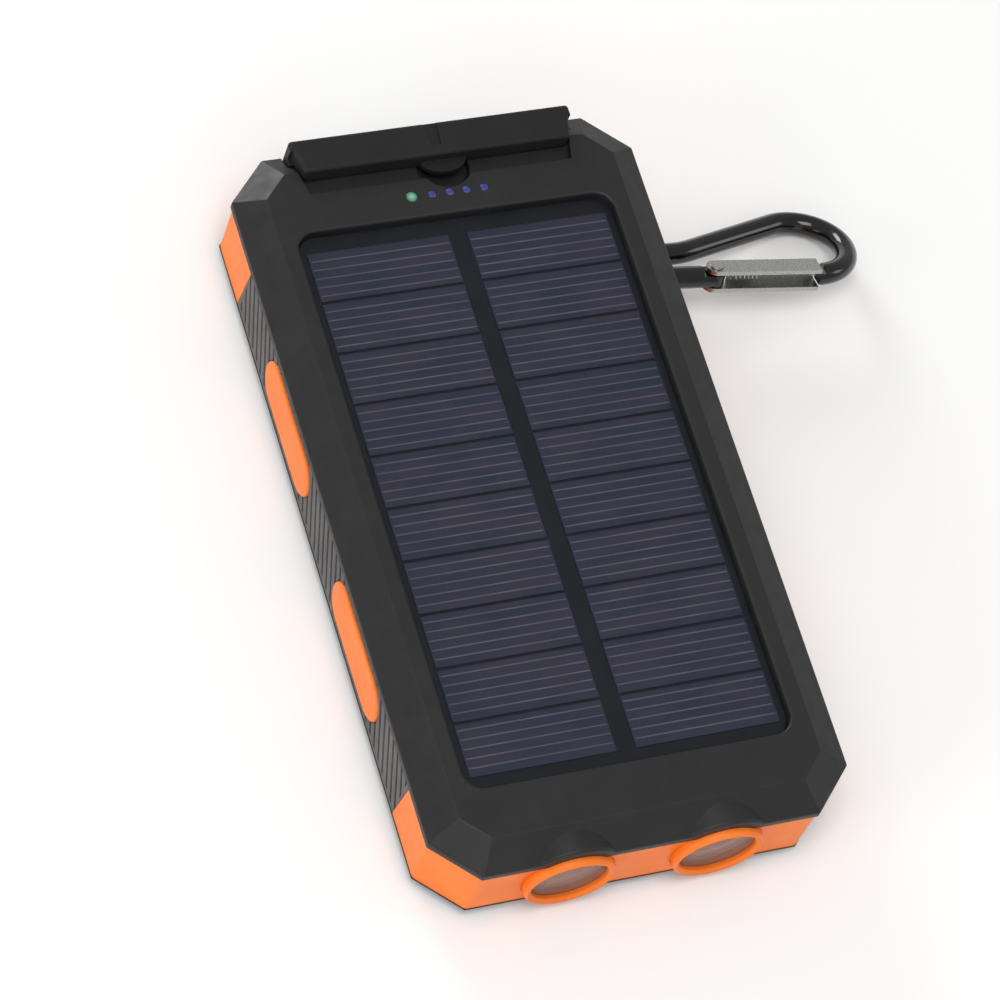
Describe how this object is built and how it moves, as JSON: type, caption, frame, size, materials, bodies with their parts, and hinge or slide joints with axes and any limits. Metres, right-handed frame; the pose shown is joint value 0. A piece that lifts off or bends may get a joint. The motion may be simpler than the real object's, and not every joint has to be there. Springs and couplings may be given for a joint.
{
  "type": "solar phone charger",
  "caption": "Rugged pocket power bank with a solar panel on its face, flip-up port cover, end torches, back compass and a clip-on carabiner.",
  "frame": {"origin": "middle of the flat back face, which rests on the table", "axes": "+Z out of the solar face, +Y to the end with the charging sockets, +X to the side with the power button and the carabiner"},
  "size_m": [0.1155, 0.1394, 0.0227],
  "materials": {
    "case_black": "fine satin moulded texture",
    "frame_orange": "satin moulded",
    "grip_grey": "matt, slanted grooves",
    "cover_black": "matt",
    "seal_rubber": "matt",
    "panel_backing": "semi-gloss laminate",
    "cell_blue": "dark blue silicon with fine finger lines",
    "clear_cover": "clear laminate, faint sheen",
    "board_green": "solder mask",
    "chip_black": "moulded",
    "socket_steel": "plated, brushed",
    "tongue_black": "moulded",
    "steel": "brushed",
    "black_aluminium": "glossy black anodised",
    "status_green": "lit light pipe",
    "level_blue": "lit light pipe",
    "led_white": "lamp chip",
    "reflector_chrome": "mirror finish",
    "torch_lens": "clear",
    "battery_foil": "matt laminate pouch",
    "foam": "closed-cell foam",
    "lead_red": "insulated lead",
    "compass_card": "printed card",
    "compass_lens": "clear",
    "compass_case": "gloss",
    "brass": "turned"
  },
  "bodies": {
    "case": {"back_shell": "case_black", "front_shell": "case_black", "middle_frame": "frame_orange", "grip_strip_left": "grip_grey", "grip_strip_right": "grip_grey", "front_seal": "seal_rubber", "back_seal": "seal_rubber", "cover_hinge_pin": "steel", "solar_board": "panel_backing", "solar_cells": "cell_blue", "solar_cover": "clear_cover", "main_board": "board_green", "usb_a_socket_left": "socket_steel", "usb_a_socket_right": "socket_steel", "usb_a_tongue_left": "tongue_black", "usb_a_tongue_right": "tongue_black", "micro_usb_socket": "socket_steel", "micro_usb_tongue": "tongue_black", "board_parts": "chip_black", "power_coil": "chip_black", "button_switch": "chip_black", "indicator_board": "board_green", "indicator_chips": "led_white", "status_light_pipe": "status_green", "level_light_pipes": "level_blue", "battery_leads": "lead_red", "solar_leads": "lead_red", "torch_leads": "lead_red", "torch_bezel_left": "frame_orange", "torch_bezel_right": "frame_orange", "torch_lens_left": "torch_lens", "torch_lens_right": "torch_lens", "torch_reflector_left": "reflector_chrome", "torch_reflector_right": "reflector_chrome", "torch_lamp_left": "led_white", "torch_lamp_right": "led_white", "torch_board": "board_green", "case_screws": "steel", "screw_plugs": "cover_black", "battery_cell_lower": "battery_foil", "battery_cell_upper": "battery_foil", "battery_pad": "foam", "compass_housing": "compass_case", "compass_lens": "compass_lens", "compass_pivot": "brass", "lanyard_pin": "steel"},
    "port_cover": {"port_cover": "cover_black"},
    "power_button": {"power_button": "frame_orange"},
    "compass_card": {"compass_card": "compass_card"},
    "carabiner": {"carabiner_body": "black_aluminium", "gate_rivet": "steel"},
    "gate": {"carabiner_gate": "steel", "gate_spring": "steel"}
  },
  "joints": [
    {"name": "port_cover_hinge", "type": "hinge", "parent": "case", "child": "port_cover", "pos_m": [0, 0.0676, 0.0029], "axis": [-1, 0, 0], "range_deg": [0, 90]},
    {"name": "power_button_press", "type": "slide", "parent": "case", "child": "power_button", "axis": [-1, 0, 0], "range_m": [0, 0.0006], "stiffness_N_per_m": 800},
    {"name": "compass_turn", "type": "hinge", "parent": "case", "child": "compass_card", "pos_m": [0, 0.047, 0.0022], "axis": [0, 0, 1], "continuous": true},
    {"name": "carabiner_swing", "type": "hinge", "parent": "case", "child": "carabiner", "pos_m": [0.0343, 0.0417, 0.0096], "axis": [0, 0, 1], "range_deg": [-18, 18]},
    {"name": "gate_swing", "type": "hinge", "parent": "carabiner", "child": "gate", "pos_m": [0.04746, 0.03699, 0.01043], "axis": [0.0947, 0.4226, 0.9013], "range_deg": [0, 28], "stiffness_Nm_per_rad": 0.03, "springref_deg": -14.32}
  ]
}
